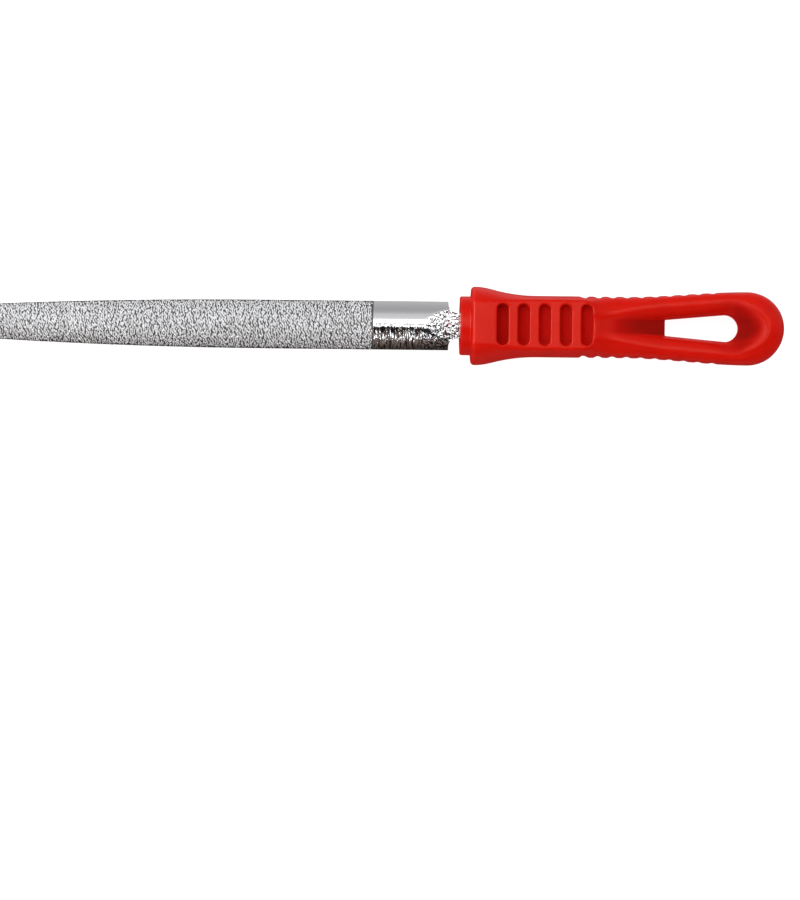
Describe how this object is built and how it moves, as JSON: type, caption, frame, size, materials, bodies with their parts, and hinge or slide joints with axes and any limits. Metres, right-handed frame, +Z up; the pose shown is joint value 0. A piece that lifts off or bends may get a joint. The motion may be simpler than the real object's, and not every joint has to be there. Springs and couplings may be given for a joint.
{
  "type": "half-round file",
  "caption": "Hand file with a tapering half-round blade, cut on its flat and its rounded side, and a moulded plastic handle with grip pockets and a hanging hole.",
  "frame": {"origin": "centre of the bottom of the bounding box, under the middle of the file", "axes": "+X along the file from the point to the hanging loop; +Y across it; +Z up, square to the blade's flat side, which faces down"},
  "size_m": [0.3342, 0.0314, 0.0244],
  "materials": {
    "file_steel": "hardened carbon steel, ground bright, with cut teeth",
    "red_plastic": "injection-moulded polypropylene, satin"
  },
  "bodies": {
    "root": {"blade": "file_steel", "handle": "red_plastic"}
  },
  "joints": []
}
